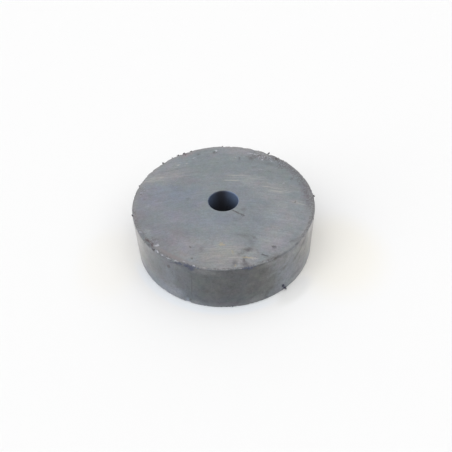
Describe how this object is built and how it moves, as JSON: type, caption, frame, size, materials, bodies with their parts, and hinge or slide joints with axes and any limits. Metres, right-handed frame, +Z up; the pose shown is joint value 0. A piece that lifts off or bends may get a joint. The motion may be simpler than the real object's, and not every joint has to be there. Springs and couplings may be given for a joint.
{
  "type": "cylinder magnet",
  "caption": "Low cylindrical ferrite magnet with a straight screw bore through its middle, flat ground faces and small chips along its rims.",
  "frame": {"origin": "centre of the lower face, in the plane that the magnet rests on", "axes": "+Z up along the bore axis; -Y points to the side with the largest chips"},
  "size_m": [0.04, 0.04, 0.012],
  "materials": {
    "ferrite": "sintered strontium ferrite: ground satin faces, a duller fired side wall and fresh grainy chips"
  },
  "bodies": {
    "root": {"magnet": "ferrite"}
  },
  "joints": []
}
